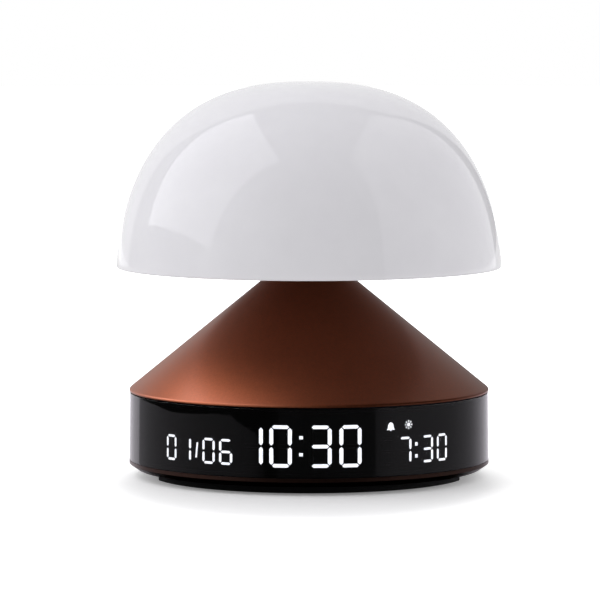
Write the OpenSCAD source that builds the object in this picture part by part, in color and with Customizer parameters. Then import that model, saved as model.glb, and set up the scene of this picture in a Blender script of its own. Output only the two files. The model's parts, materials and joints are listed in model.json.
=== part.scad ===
// Sunrise alarm clock: an opal domed light that presses down on a coned
// aluminium housing, over a drum that carries a wrap-round display.
// Millimetres. The bottom of the feet is z = 0, the front faces -Y, and the
// vertical axis of the clock is the Z axis.

/* [Shade] */
// Half width of the curve that shapes the shade
shade_a = 64.665; // [64.3:0.005:65.2]
// Height of the shade's curve above its centre
shade_b = 74.766; // [72:0.001:78]
// Squareness of the shade's curve across its width
shade_nr = 2.514; // [2.40:0.001:2.65]
// Squareness of the shade's curve up its height
shade_nz = 2.453; // [2.35:0.001:2.55]
// Height of the centre of the shade's curve
shade_z0 = 56.679; // [56.3:0.001:57.2]
// Wall thickness of the shade
shade_wall = 2.2; // [2.1:0.05:2.6]
// Rounding of the shade's rim
rim_round = 1.0; // [0.4:0.1:1.2]

/* [Cone housing] */
// Radius of the corner at the foot of the cone
cone_r = 59.7; // [59.5:0.05:59.9]
// Wall thickness of the cone, measured square to it
cone_wall = 1.8; // [1.4:0.1:2.2]
// Rounding of the corner at the foot of the cone
cone_round = 0.8; // [0.2:0.1:1.2]

/* [Display band] */
// Outer radius of the band at its foot
band_r_low = 59.95; // [59.8:0.05:60.0]
// Outer radius of the band at its top
band_r_top = 59.7; // [59.5:0.05:59.9]
// Height of the band's foot
band_z0 = 5.6; // [5.5:0.05:5.7]
// Height of the band's top
band_z1 = 28.3; // [28.2:0.05:28.4]
// Half angle of the rear panel that closes the band
rear_half = 36; // [35:1:40]

/* [Display] */
// Height of the time digits
time_h = 13.75; // [12:0.05:14.5]
// Width of the time digits
time_w = 7.22; // [6.6:0.02:7.6]
// Stroke of the time digits
time_t = 1.22; // [1.0:0.02:1.6]
// Height of the date digits
date_h = 8.4; // [8:0.1:9.4]
// Height of the alarm digits
alarm_h = 8.9; // [8:0.1:9.6]
// Width of the small digits
small_w = 4.75; // [4.4:0.05:5.1]
// Stroke of the small digits
small_t = 0.82; // [0.7:0.02:1.0]
// Gap between the ends of neighbouring strokes
seg_gap = 0.55; // [0.3:0.05:0.7]
// Height of the middle of the time digits
time_z = 15.84; // [15.5:0.02:16.2]
// Height of the middle of the date digits
date_z = 13.4; // [12.5:0.1:14.5]
// Height of the middle of the alarm digits
alarm_z = 13.65; // [12.5:0.05:14.5]

/* [Buttons] */
// Diameter of the rear buttons
button_d = 6.5; // [5.5:0.1:7]
// Distance between neighbouring rear buttons
button_pitch = 13; // [12:0.25:13.5]
// Height of the row of rear buttons
button_z = 18.75; // [18:0.25:19.5]
// Travel of a rear button
button_travel = 0.5; // [0.3:0.05:0.6]
// Travel of the whole light when it is pressed
press_travel = 0.8; // [0.4:0.1:0.9]

/* [Inside] */
// Diameter of the rechargeable cell
cell_d = 18.2; // [17.5:0.1:18.3]
// Length of the rechargeable cell
cell_l = 65; // [60:0.5:65.5]
// Outer radius of the press stem
stem_r = 5.0; // [4.8:0.05:5.0]
// Turns of the return spring
spring_turns = 5; // [4:1:7]
// Wire diameter of the return spring
spring_wire = 0.9; // [0.7:0.1:1.1]

/* [Base] */
// Radius of the flat underside
base_flat_r = 57.5; // [57:0.1:58.5]
// Radius of the base cover's lip
base_lip_r = 60.1; // [60:0.05:60.3]
// Height of the rubber feet below the base
foot_h = 2.6; // [2.2:0.1:2.6]
// Half angle that each foot covers
foot_half = 70; // [60:1:75]

/* [Hidden] */
$fn = 96;

// heights of the stack, from the feet upwards
base_z0 = 2.6;          // underside of the base cover
floor_z = 4.8;          // its inner floor
board_z = 24.6;         // underside of the main board
seam_z = 28.7;          // lower edge of the cone, a shadow gap over the band
mast_z = 65;            // top of the mast, under the cone's cap
neck_z = 69;            // top of the cone
rim_z = 70;             // rim of the shade
deck_z = 71.8;          // underside of the shade's floor
deck_t = 2.0;           // its thickness
clip_z = 57.9;          // underside of the bushing, where the clip stops
seat_z = 47;            // lower seat of the return spring
switch_z = 37;          // foot of the press stem

// cone
cone_k = 1.2246;        // run of the cone for each millimetre of height
cone_tip = 78.2;        // height of its virtual tip
cone_half = atan(cone_k);
tip_in = cone_tip - cone_wall / sin(cone_half);
corner_z = cone_tip - cone_r / cone_k;
function cone_out(z) = (cone_tip - z) * cone_k;
function cone_in(z) = (tip_in - z) * cone_k;

// radii of the drum
chassis_in = 51.6;
chassis_out = 53.6;
flange_r = 57.6;
band_in = 57.85;
film_out = 57.7;
film_in = 57.45;
screw_r = 48.5;         // pitch circle of the case screws
board_r = 44;
board_screw_r = 41;
foot_r0 = 44;
foot_r1 = 53;
foot_seat = 0.6;

// layout on the floor of the base
spk = [0, -19];
ear_at = [30, 150, 270];
ear_r = 24;
cell_y = 14;
cell_z = 14.4;

// rear controls
rear_y = 42;            // inner face of the rear board
cap_y = 48;             // inner end of each button
button_x = [for (i = [-1.5, -0.5, 0.5, 1.5]) i * button_pitch];

// digits: azimuth from the front and the numeral that is lit
// (10 stands for a blank place)
seg_mid = 57.7;
time_cells = [[-18.5, 1], [-9.17, 0], [3.49, 3], [13.17, 0]];
date_cells = [[-49.9, 0], [-43.35, 1], [-33.95, 0], [-27.6, 6]];
alarm_cells = [[25.6, 10], [32.1, 7], [41.0, 3], [47.5, 0]];
glyph = [
  [1,1,1,1,1,1,0], [0,1,1,0,0,0,0], [1,1,0,1,1,0,1], [1,1,1,1,0,0,1],
  [0,1,1,0,0,1,1], [1,0,1,1,0,1,1], [1,0,1,1,1,1,1], [1,1,1,0,0,0,0],
  [1,1,1,1,1,1,1], [1,1,1,1,0,1,1], [0,0,0,0,0,0,0]
];

opal = [0.93, 0.92, 0.95];
copper = [0.42, 0.23, 0.15];
gloss_black = [0.03, 0.03, 0.035];
black = [0.10, 0.10, 0.11];
glow = [0.97, 0.98, 1.0];
steel = [0.72, 0.73, 0.75];
pcb = [0.05, 0.28, 0.16];

// ---------- shared shapes ----------

// ring between two radii and two heights
module ring(r0, r1, z0, z1)
  translate([0, 0, z0]) difference() {
    cylinder(h = z1 - z0, r = r1);
    translate([0, 0, -1]) cylinder(h = z1 - z0 + 2, r = r0);
  }

// part of a ring between two azimuths, counted from the front towards +X
module arc_ring(a0, a1, r0, r1, z0, z1)
  rotate([0, 0, a0 - 90]) rotate_extrude(angle = a1 - a0)
    translate([r0, z0]) square([r1 - r0, z1 - z0]);

// cylinder along +Y
module ycyl(x, z, y0, y1, r)
  translate([x, y0, z]) rotate([-90, 0, 0]) cylinder(h = y1 - y0, r = r);

// upright cylinder
module post(x, y, z0, z1, r)
  translate([x, y, z0]) cylinder(h = z1 - z0, r = r);

module at_case_screws() for (a = [45 : 90 : 315]) rotate([0, 0, a]) children();

// machine screw, head up, seated at z
module screw_down(z, head_r, head_h, shank_r, length, slot) {
  difference() {
    union() {
      translate([0, 0, z]) cylinder(h = head_h, r = head_r);
      translate([0, 0, z - length]) cylinder(h = length + 0.1, r = shank_r);
    }
    for (a = [0, 90]) rotate([0, 0, a])
      translate([-slot, -0.3, z + head_h * 0.45]) cube([2 * slot, 0.6, head_h]);
  }
}

// insulated wire through a list of points
module wire(p, r)
  for (i = [0 : len(p) - 1]) {
    translate(p[i]) sphere(r = r * 1.06);
    if (i < len(p) - 1) let (d = p[i + 1] - p[i], l = norm(d))
      translate(p[i]) rotate([0, acos(d[2] / l), atan2(d[1], d[0])])
        cylinder(h = l, r = r);
  }

// ---------- the light ----------

function shade_pt(t, w) = [
  (shade_a - w) * pow(sin(t), 2 / shade_nr),
  shade_z0 + (shade_b - w) * pow(cos(t), 2 / shade_nz)];
function shade_t(z, w) = acos(pow((z - shade_z0) / (shade_b - w), shade_nz / 2));
shade_land = shade_pt(shade_t(rim_z, 0), 0)[0] - 2.3;

module shade_dome() {
  t1 = shade_t(rim_z + rim_round, 0);
  t2 = shade_t(deck_z + deck_t, shade_wall);
  edge = shade_pt(t1, 0)[0];
  color(opal) rotate_extrude() polygon(concat(
    [[0, shade_z0 + shade_b]],
    [for (i = [1 : 34]) shade_pt(t1 * i / 34, 0)],
    [for (i = [1 : 6]) [edge - rim_round + rim_round * cos(15 * i),
                        rim_z + rim_round - rim_round * sin(15 * i)]],
    [[shade_land + 0.25, rim_z], [shade_land, rim_z + 0.25],
     [shade_land, deck_z + deck_t]],
    [for (i = [26 : -1 : 1]) shade_pt(t2 * i / 26, shade_wall)],
    [[0, shade_z0 + shade_b - shade_wall]]));
}

module shade_floor() color([0.42, 0.38, 0.36]) difference() {
  translate([0, 0, deck_z]) cylinder(h = deck_t, r = shade_land - 0.05);
  translate([0, 0, deck_z - 1]) cylinder(h = deck_t + 2, r = stem_r + 0.05);
}

spread_z = deck_z + deck_t;
spread_t = 2.2;
lamp_z = spread_z + spread_t;
lamp_t = 1.6;
lamp_screws = [30, 150, 270];

module heat_spreader() color("silver") difference() {
  union() {
    translate([0, 0, spread_z]) cylinder(h = spread_t, r = 41);
    ring(41, 42.5, spread_z, lamp_z + 1.2);
  }
  translate([0, 0, spread_z - 1]) cylinder(h = 8, r = stem_r + 0.05);
  for (a = lamp_screws) rotate([0, 0, a])
    translate([27, 0, spread_z + 0.4]) cylinder(h = 4, r = 1.15);
}

module led_board() color([0.93, 0.94, 0.92]) difference() {
  ring(10.5, 40.6, lamp_z, lamp_z + lamp_t);
  for (a = lamp_screws) rotate([0, 0, a])
    translate([27, 0, lamp_z - 1]) cylinder(h = 4, r = 1.3);
}

module light_leds() color([0.95, 0.9, 0.6])
  for (q = [[12, 20, 15], [24, 35, 7.5]]) for (i = [0 : q[0] - 1])
    rotate([0, 0, q[2] + i * 360 / q[0]])
      translate([q[1] - 1.75, -1.4, lamp_z + lamp_t]) {
        cube([3.5, 2.8, 1.1]);
        translate([1.75, 1.4, 0.8]) cylinder(h = 0.5, r = 1.0);
      }

module light_screws() color(steel) for (a = lamp_screws) rotate([0, 0, a])
  translate([27, 0, 0]) screw_down(lamp_z + lamp_t, 2.1, 1.4, 1.1, 3.2, 1.3);

module press_stem() color(steel) difference() {
  union() {
    post(0, 0, switch_z, lamp_z + 3.6, stem_r);
    post(0, 0, deck_z - 0.8, deck_z, 8.5);
  }
  // passage for the wires, which leave at its foot through a side window
  post(0, 0, switch_z + 2.8, lamp_z + 5, 3);
  translate([-2.4, -8, switch_z + 2.8]) cube([4.8, 8, 3.8]);
  // groove of the retaining clip
  ring(stem_r - 0.65, stem_r + 2, clip_z - 0.8, clip_z);
}

module stem_nut() color("goldenrod") difference() {
  translate([0, 0, lamp_z]) cylinder(h = 3, r = 9.2, $fn = 6);
  post(0, 0, lamp_z - 1, lamp_z + 4, stem_r + 0.03);
}

module stem_clip() color(steel) difference() {
  ring(stem_r - 0.62, 7.9, clip_z - 0.77, clip_z - 0.03);
  translate([0, -3.4, clip_z - 2]) cube([10, 6.8, 4]);
  for (a = [70, 290]) rotate([0, 0, a])
    translate([6.4, 0, clip_z - 2]) cylinder(h = 4, r = 0.5);
}

module press_switch_plunger() color("ivory")
  post(0, 0, switch_z - 2.4, switch_z, 1.6);

// ---------- cone, neck and frame ----------

module cone_housing() color(copper) rotate_extrude() polygon(concat(
  [[cone_in(seam_z), seam_z], [cone_r - 0.25, seam_z], [cone_r, seam_z + 0.25]],
  let (s = cone_round * tan(cone_half / 2))
    [for (i = [0 : 6]) let (a = cone_half * i / 6)
      [cone_r - cone_round + cone_round * cos(a),
       corner_z - s + cone_round * sin(a)]],
  [[cone_out(neck_z - 0.5), neck_z - 0.5],
   [cone_out(neck_z - 0.5) - 0.45, neck_z - 0.08],
   [cone_out(neck_z - 0.5) - 0.85, neck_z],
   [7.5, neck_z], [7.5, mast_z], [cone_in(mast_z), mast_z]]));

module neck_bushing() color([0.2, 0.2, 0.2]) difference() {
  union() {
    post(0, 0, clip_z, neck_z + 0.1, 7.45);
    rotate_extrude() polygon([[0, neck_z], [9.5, neck_z], [9.5, neck_z + 0.5],
                              [9.2, neck_z + 0.8], [0, neck_z + 0.8]]);
  }
  post(0, 0, clip_z - 1, neck_z + 2, stem_r + 0.05);
}

module leg() translate([0, 1.2, 0]) rotate([90, 0, 0])
  linear_extrude(height = 2.4) difference() {
    polygon([[9.8, 35], [9.8, mast_z - 1.5],
             [cone_in(mast_z - 1.5) - 0.7, mast_z - 1.5],
             [cone_in(32.4) - 0.7, 32.4], [52.4, 29], [12, 29], [12, 30],
             [13.4, 31], [13.4, 34]]);
    polygon([[17, 35], [17, 54], [39, 35]]);
  }

module inner_frame() color(black) difference() {
  union() {
    ring(44.8, chassis_out, band_z1, band_z1 + 2);
    post(0, 0, 28.6, 30.4, 13);
    for (a = [90, 210, 330]) rotate([0, 0, a]) leg();
    ring(8.6, 10.5, 34, mast_z);
    ring(7.5, 9, mast_z - 4.5, mast_z);
    ring(5.4, 9, seat_z - 3, seat_z);
    for (x = [-8, 8]) {
      post(x, 0, 30.3, 31.1, 2.4);
      post(x, 0, 31, 33, 1.0);
    }
  }
  // window for the clip and the spring, and a gate for the wires
  translate([5.6, -8.3, seat_z + 3]) cube([6, 16.6, 9.5]);
  translate([-3.5, -12, 33]) cube([7, 8, 10.4]);
  post(0, 0, 27, 31, 4.5);
  at_case_screws() post(screw_r, 0, 27, 32, 1.3);
}

module frame_screws() color(steel) at_case_screws() translate([screw_r, 0, 0])
  screw_down(band_z1 + 2, 2.2, 1.6, 1.2, 9, 1.3);

// compression coil between the mast's seat and the clip
function coil_pt(a, r, z) = [r * cos(a), r * sin(a), z];
module return_spring() {
  wr = spring_wire / 2;
  n = spring_turns * 16;
  z0 = seat_z + wr + 0.02;
  z1 = clip_z - 0.8 - wr - 0.02;
  rm = 6.55;
  // flat end turns, an even pitch between them
  function h(u) = (u < 0.12 ? u * u / 0.24
    : u > 0.88 ? 0.88 - (1 - u) * (1 - u) / 0.24 : u - 0.06) / 0.88;
  pts = [for (i = [0 : n]) for (k = [0 : 5]) let (
      u = i / n, a = u * 360 * spring_turns, b = k * 60 + 30,
      z = z0 + (z1 - z0) * min(1, max(0, h(u))))
    coil_pt(a, rm + wr * cos(b), z + wr * sin(b))];
  faces = concat(
    [[for (k = [0 : 5]) k]],
    [for (i = [0 : n - 1]) for (k = [0 : 5]) let (m = (k + 1) % 6)
      [i * 6 + k, (i + 1) * 6 + k, (i + 1) * 6 + m]],
    [for (i = [0 : n - 1]) for (k = [0 : 5]) let (m = (k + 1) % 6)
      [i * 6 + k, (i + 1) * 6 + m, i * 6 + m]],
    [[for (k = [5 : -1 : 0]) n * 6 + k]]);
  color(steel) polyhedron(points = pts, faces = faces);
}

module press_switch() color(black) difference() {
  translate([-3, -3, 32.3]) cube([6, 6, 3.5]);
  post(0, 0, switch_z - 2.6 - press_travel, 37, 1.72);
}

module switch_board() color(pcb) difference() {
  post(0, 0, 31.1, 32.3, 11);
  for (x = [-8, 8]) post(x, 0, 30, 34, 1.05);
  translate([-4, -12, 30]) cube([8, 4.5, 4]);
}

module light_harness() color([0.75, 0.12, 0.10])
  for (x = [-1.65, -0.55, 0.55, 1.65])
    wire([[x, 12.8, lamp_z + lamp_t + 0.55], [x, 12.8, lamp_z + 5.4],
          [x, 0, lamp_z + 5.4], [x, 0, 41.6], [x, -15, 39.6],
          [x, -24, 33.4]], 0.5);

// ---------- display ----------

module on_band(az, x, z, r0, r1)
  rotate([0, 0, az + x / seg_mid * 180 / PI]) translate([0, -r0, z])
    rotate([90, 0, 0]) linear_extrude(height = r1 - r0) children();

module bar(l, t) polygon([[-l / 2, 0], [-l / 2 + t / 2, t / 2],
  [l / 2 - t / 2, t / 2], [l / 2, 0], [l / 2 - t / 2, -t / 2],
  [-l / 2 + t / 2, -t / 2]]);

// strokes of one place, in the order a to g: [across, up, length, upright]
function strokes(w, h, t) = let (x = (w - t) / 2, y = (h - t) / 2,
    lh = w - t - seg_gap, lv = y - seg_gap)
  [[0, y, lh, 0], [x, y / 2, lv, 1], [x, -y / 2, lv, 1], [0, -y, lh, 0],
   [-x, -y / 2, lv, 1], [-x, y / 2, lv, 1], [0, 0, lh, 0]];

module place(cell, zc, w, h, t, want, r0, r1, grow)
  for (i = [0 : 6]) if (want == 2 || glyph[cell[1]][i] == want)
    let (s = strokes(w, h, t)[i])
      on_band(cell[0], s[0], zc + s[1], r0, r1)
        rotate(s[3] * 90)
          bar(s[2] + 2 * grow, (s[3] == 1 ? t : 0.9 * t) + 2 * grow);

module colon(az, zc, gap, w, h, r0, r1, grow) for (s = [-1, 1])
  on_band(az, 0, zc + s * gap / 2, r0, r1)
    square([w + 2 * grow, h + 2 * grow], center = true);

module time_set(want, r0, r1, grow) {
  for (c = time_cells)
    place(c, time_z, time_w, time_h, time_t, want, r0, r1, grow);
  if (want > 0) colon(-2.64, 15.98, 5.5, 1.1, 1.0, r0, r1, grow);
}

module date_set(want, r0, r1, grow) {
  for (c = date_cells)
    place(c, date_z, small_w, date_h, small_t, want, r0, r1, grow);
  if (want > 0) on_band(-38.6, 0, 13.4, r0, r1)
    polygon([[-0.58 - grow, -2.45 - grow], [0.06 + grow, -2.45 - grow],
             [0.58 + grow, 2.45 + grow], [-0.06 - grow, 2.45 + grow]]);
}

module alarm_set(want, r0, r1, grow) {
  for (c = alarm_cells)
    place(c, alarm_z, small_w, alarm_h, small_t, want, r0, r1, grow);
  if (want > 0) colon(36.4, 13.55, 3.9, 1.0, 1.1, r0, r1, grow);
}

// bell and sun
bell_side = [[0.26, 1.34], [0.62, 1.08], [0.88, 0.72], [1.02, 0.3],
  [1.08, -0.2], [1.16, -0.6], [1.42, -1.0], [1.36, -1.16], [0.46, -1.08]];
module bell(g) scale((1.35 + g) / 1.4) polygon(concat([[0, 1.42]], bell_side,
  [for (i = [8 : -1 : 0]) [-bell_side[i][0], bell_side[i][1]]]));
module clapper(g) translate([0, -1.12]) circle(r = 0.3 + g);
module sun_core(g) circle(r = 0.60 + g);
module sun_ray(g) translate([0.94 - g, -0.16 - g])
  square([0.48 + 2 * g, 0.32 + 2 * g]);

module icon_set(r0, r1, grow) {
  on_band(26.8, 0, 21.7, r0, r1) bell(grow);
  on_band(26.8, 0, 21.7, r0, r1) clapper(grow);
  on_band(33.4, 0, 22.0, r0, r1) sun_core(grow);
  for (a = [0 : 45 : 315])
    on_band(33.4, 0, 22.0, r0, r1) rotate(a) sun_ray(grow);
}

module time_digits() color(glow) time_set(1, 55.6, film_out, 0);
module date_digits() color(glow) date_set(1, 55.6, film_out, 0);
module alarm_digits() color(glow) alarm_set(1, 55.6, film_out, 0);
module alarm_icons() color(glow) icon_set(55.6, film_out, 0);
module unlit_segments() color([0.12, 0.12, 0.13]) {
  time_set(0, 55.6, film_out, 0);
  date_set(0, 55.6, film_out, 0);
  alarm_set(0, 55.6, film_out, 0);
}
module all_windows(r0, r1, grow) {
  time_set(2, r0, r1, grow);
  date_set(2, r0, r1, grow);
  alarm_set(2, r0, r1, grow);
}

module display_band() color(gloss_black)
  rotate([0, 0, 90 + rear_half]) rotate_extrude(angle = 360 - 2 * rear_half)
    polygon([[band_in, band_z0], [band_r_low - 0.2, band_z0],
             [band_r_low, band_z0 + 0.2], [band_r_top, band_z1 - 0.25],
             [band_r_top - 0.25, band_z1], [band_in, band_z1]]);

module display_mask() color([0.05, 0.05, 0.06]) difference() {
  arc_ring(-179.5 + rear_half, 179.5 - rear_half, film_in, film_out,
           band_z0 + 1.3, 26.9);
  all_windows(56, 59, 0.04);
  icon_set(56, 59, 0.04);
}

module display_reflector() color([0.85, 0.85, 0.85]) difference() {
  arc_ring(-57, 55, 54.95, film_in - 0.05, band_z0 + 1.4, 26.8);
  all_windows(54, 59, 0.04);
  translate([0, 0, 0]) {
    on_band(26.8, 0, 21.6, 54, 59) square([3.4, 4.2], center = true);
    on_band(33.4, 0, 22.0, 54, 59) circle(r = 2.0);
  }
}

module display_flex_board() color([0.55, 0.35, 0.08])
  arc_ring(-57, 55, 53.7, 54.1, band_z0 + 1.4, 26.6);

module lamp_chip(az, x, z) on_band(az, x, z, 54.1, 54.8)
  square([1.0, 0.6], center = true);
module chip_row(cells, zc, w, h, t)
  for (c = cells) for (s = strokes(w, h, t)) lamp_chip(c[0], s[0], zc + s[1]);

module display_leds() color([0.95, 0.95, 0.85]) {
  chip_row(time_cells, time_z, time_w, time_h, time_t);
  chip_row(date_cells, date_z, small_w, date_h, small_t);
  chip_row(alarm_cells, alarm_z, small_w, alarm_h, small_t);
  for (s = [-1, 1]) {
    lamp_chip(-2.64, 0, 15.98 + s * 2.75);
    lamp_chip(36.4, 0, 13.55 + s * 1.95);
  }
  lamp_chip(-38.6, 0, 13.4);
  lamp_chip(26.8, 0, 21.7);
  lamp_chip(33.4, 0, 22.0);
}

// ---------- chassis and electronics ----------

// ear that holds one end of the rear board
module rear_ear() translate([0, 0, button_z - 3]) linear_extrude(height = 6)
  polygon([[24.2, 43.4], [24.2, 46.4], [31.5, 46.4], [36.5, 40.5],
           [34, 38.4], [31.4, 40.6], [31.4, 43.4]]);

module chassis() color(black) difference() {
  union() {
    difference() {
      union() {
        rotate_extrude() polygon([[chassis_in, floor_z],
          [chassis_out, floor_z], [chassis_out, band_z0], [flange_r, band_z0],
          [flange_r, 6.8], [chassis_out, 6.8], [chassis_out, 27],
          [flange_r, 27], [flange_r, band_z1], [chassis_in, band_z1]]);
        at_case_screws() {
          post(screw_r, 0, 7, band_z1 - 0.05, 4);
          translate([38.5, -3.5, board_z - 3]) cube([8, 7, 3]);
        }
      }
      // opening behind the rear controls
      translate([-31, 38, 7.2]) cube([62, 30, 19.4]);
    }
    rear_ear();
    mirror([1, 0, 0]) rear_ear();
  }
  at_case_screws() {
    post(screw_r, 0, 6, 17, 1.55);
    post(screw_r, 0, 20, 30, 1.25);
    post(board_screw_r, 0, 20, 26, 1.05);
  }
  for (s = [-1, 1]) ycyl(s * 26.6, button_z, 42, 46, 0.85);
}

module main_board() color(pcb) difference() {
  post(0, 0, board_z, board_z + 1.6, board_r);
  at_case_screws() post(board_screw_r, 0, board_z - 1, board_z + 3, 1.2);
}

module board_screws() color(steel) {
  at_case_screws() translate([board_screw_r, 0, 0])
    screw_down(board_z + 1.6, 2, 1.3, 1.0, 4.2, 1.2);
  // rear board, driven from inside
  for (s = [-1, 1]) translate([s * 26.6, 0, button_z]) rotate([90, 0, 0])
    translate([0, 0, -rear_y]) screw_down(0, 1.5, 1.0, 0.8, 3.8, 0.9);
  // charge board
  for (x = [-6.4, 6.4]) translate([x, 41.5, 0])
    screw_down(9.2, 1.5, 1.0, 0.8, 3.4, 0.9);
}

module chip(x, y, s, z, h) translate([x - s / 2, y - s / 2, z]) cube([s, s, h]);

module processor_chips() color([0.12, 0.12, 0.13]) {
  chip(-16, 6, 9, board_z + 1.6, 1.1);
  chip(16, 12, 6, board_z + 1.6, 1.0);
  chip(24, -12, 5, board_z + 1.6, 1.0);
  chip(-6, 24, 4, board_z + 1.6, 0.9);
}

module board_connectors() color([0.9, 0.88, 0.8]) {
  // light, speaker, display and rear board
  difference() {
    translate([-4.4, -27, board_z + 1.6]) cube([8.8, 5.2, 6.6]);
    translate([-3.6, -26, board_z + 4]) cube([7.2, 3.6, 6]);
  }
  translate([12, -34, board_z + 1.6]) cube([6, 4.5, 4.2]);
  translate([-26, -30, board_z + 1.6]) cube([12, 3.4, 2.2]);
  translate([-7, 34, board_z + 1.6]) cube([14, 3.4, 2.2]);
}

module board_capacitors() color([0.25, 0.28, 0.45])
  for (p = [[-30, 12, 4], [-30, -4, 4], [31, 4, 4], [8.6, -14.8, 3.2]])
    post(p[0], p[1], board_z + 1.6, board_z + 1.6 + 2 * p[2], p[2]);

module battery_cell() color([0.16, 0.42, 0.62]) {
  translate([-cell_l / 2, cell_y, cell_z]) rotate([0, 90, 0])
    cylinder(h = cell_l - 0.6, r = cell_d / 2);
  translate([cell_l / 2 - 0.7, cell_y, cell_z]) rotate([0, 90, 0])
    cylinder(h = 0.7, r = cell_d / 2 - 4);
}

module battery_tabs() color(steel) for (s = [-1, 1])
  translate([s < 0 ? -cell_l / 2 - 0.3 : cell_l / 2, cell_y - 3.5, cell_z - 4])
    cube([0.3, 7, 10]);

module battery_leads() color([0.7, 0.1, 0.1]) for (s = [-1, 1])
  wire([[s * (cell_l / 2 + 0.9), cell_y, cell_z + 2],
        [s * (cell_l / 2 + 0.9), cell_y, board_z - 0.65]], 0.6);

module at_ears() translate([spk[0], spk[1], 0]) for (a = ear_at)
  rotate([0, 0, a]) translate([ear_r, 0, 0]) children();

module speaker_basket() color([0.25, 0.25, 0.27]) difference() {
  union() {
    translate([spk[0], spk[1], 0]) rotate_extrude() polygon([
      [15.6, 5.6], [20.3, 5.6], [20.3, 6.6], [19.6, 6.6], [19.6, 8.6],
      [12.9, 13], [7.2, 13], [7.2, 12.2], [12.4, 12.2], [18.4, 8.2],
      [18.4, 6.6], [15.6, 6.6]]);
    difference() {
      at_ears() hull() {
        post(0, 0, 5.6, 6.6, 3, $fn = 32);
        post(-5.2, 0, 5.6, 6.6, 4, $fn = 32);
      }
      translate([spk[0], spk[1], 5]) cylinder(h = 2, r = 19);
    }
  }
  at_ears() post(0, 0, 5, 8, 1.05);
  for (a = [0 : 60 : 300]) translate([spk[0], spk[1], 0]) rotate([0, 0, a])
    translate([12.5, -2, 8.9]) cube([7.5, 4, 2.8]);
}

module speaker_magnet() color([0.35, 0.35, 0.37]) difference() {
  post(spk[0], spk[1], 13, 18.2, 11.5);
  translate([spk[0], spk[1], 0]) ring(4.3, 6.4, 12, 17);
}

module speaker_surround() color([0.12, 0.12, 0.12])
  translate([spk[0], spk[1], 0]) rotate_extrude() polygon(concat(
    [for (i = [0 : 8]) [16.6 - 1.5 * cos(22.5 * i), 6.7 + 1.2 * sin(22.5 * i)]],
    [[18, 6.6], [18, 7.0 - 0.4]],
    [for (i = [8 : -1 : 0])
      [16.6 - 1.1 * cos(22.5 * i), 6.62 + 0.75 * sin(22.5 * i)]]));

module speaker_gasket() color([0.2, 0.2, 0.2])
  translate([spk[0], spk[1], 0]) ring(15.6, 19.8, floor_z, 5.6);

module speaker_cone() color([0.2, 0.19, 0.18])
  translate([spk[0], spk[1], 0]) rotate_extrude() polygon([
    [0, 8.2], [2.5, 8.5], [5, 9.4], [14.6, 6.9], [14.6, 7.3], [5.5, 9.8],
    [5.5, 15.5], [5.0, 15.5], [5.0, 9.9], [2.4, 8.95], [0, 8.6]]);

module speaker_screws() color(steel) at_ears()
  screw_down(6.6, 1.9, 1.2, 0.9, 3, 1.1);

// ---------- rear controls ----------

module rear_span(r0, r1, z0, z1, inset)
  arc_ring(180 - rear_half + inset, 180 + rear_half - inset, r0, r1, z0, z1);

module rear_panel() color(black) difference() {
  union() {
    rear_span(band_in, 59.5, band_z0 + 0.1, band_z1 - 0.1, 0.15);
    // guides for the buttons
    intersection() {
      for (x = button_x) ycyl(x, button_z, cap_y + 1.45, 59, button_d / 2 + 1.8);
      post(0, 0, 0, 40, band_in + 0.6);
    }
    // hooks behind the chassis flanges
    for (s = [-1, 1]) for (z = [[7.0, 8.1], [25.7, 26.8]])
      arc_ring(180 + s * 21 - 8, 180 + s * 21 + 8, 55.2, band_in + 0.5, z[0], z[1]);
  }
  for (x = button_x) ycyl(x, button_z, 44, 62, button_d / 2 + 0.15);
  // mouth of the socket
  for (x = [-2.84, 2.84]) ycyl(x, 10.83, 50, 62, 1.8);
  translate([-2.84, 50, 10.83 - 1.8]) cube([5.68, 12, 3.6]);
}

module rear_board() color(pcb) difference() {
  translate([-28.2, rear_y, button_z - 5.2]) cube([56.4, 1.2, 10.4]);
  for (s = [-1, 1]) ycyl(s * 26.6, button_z, 40, 45, 0.95);
}

module button_switches() color([0.15, 0.15, 0.16]) for (x = button_x)
  difference() {
    translate([x - 3, rear_y + 1.2, button_z - 3]) cube([6, 3.4, 6]);
    ycyl(x, button_z, cap_y - 2.8 - button_travel, rear_y + 6, 1.72);
  }

module plunger(x) color("ivory") ycyl(x, button_z, cap_y - 2.6, cap_y, 1.6);

// cap that follows the curve of the drum
module cap(x) color([0.16, 0.16, 0.17]) {
  ycyl(x, button_z, cap_y, cap_y + 1.4, button_d / 2 + 0.75);
  intersection() {
    ycyl(x, button_z, cap_y + 1.3, 62, button_d / 2);
    post(0, 0, 0, 40, 60.1);
  }
}

module button_light() cap(button_x[0]);
module button_alarm() cap(button_x[1]);
module button_minus() cap(button_x[2]);
module button_plus() cap(button_x[3]);
module light_plunger() plunger(button_x[0]);
module alarm_plunger() plunger(button_x[1]);
module minus_plunger() plunger(button_x[2]);
module plus_plunger() plunger(button_x[3]);

module charge_board() color(pcb) difference() {
  translate([-9, 38.4, 8]) cube([18, 18, 1.2]);
  for (x = [-6.4, 6.4]) post(x, 41.5, 7, 10, 0.95);
}

// outline of the socket's steel shell
module oblong(w, h, y0, y1) {
  for (x = [-1, 1]) ycyl(x * (w - h) / 2, 10.83, y0, y1, h / 2);
  translate([-(w - h) / 2, y0, 10.83 - h / 2]) cube([w - h, y1 - y0, h]);
}
module usb_port() color(steel) difference() {
  oblong(8.94, 3.26, 51.2, 58.55);
  oblong(8.34, 2.66, 52.0, 60);
}
module usb_tongue() color([0.1, 0.1, 0.1])
  translate([-3.35, 52.0, 10.48]) cube([6.7, 5.3, 0.7]);

// ---------- base ----------

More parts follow.
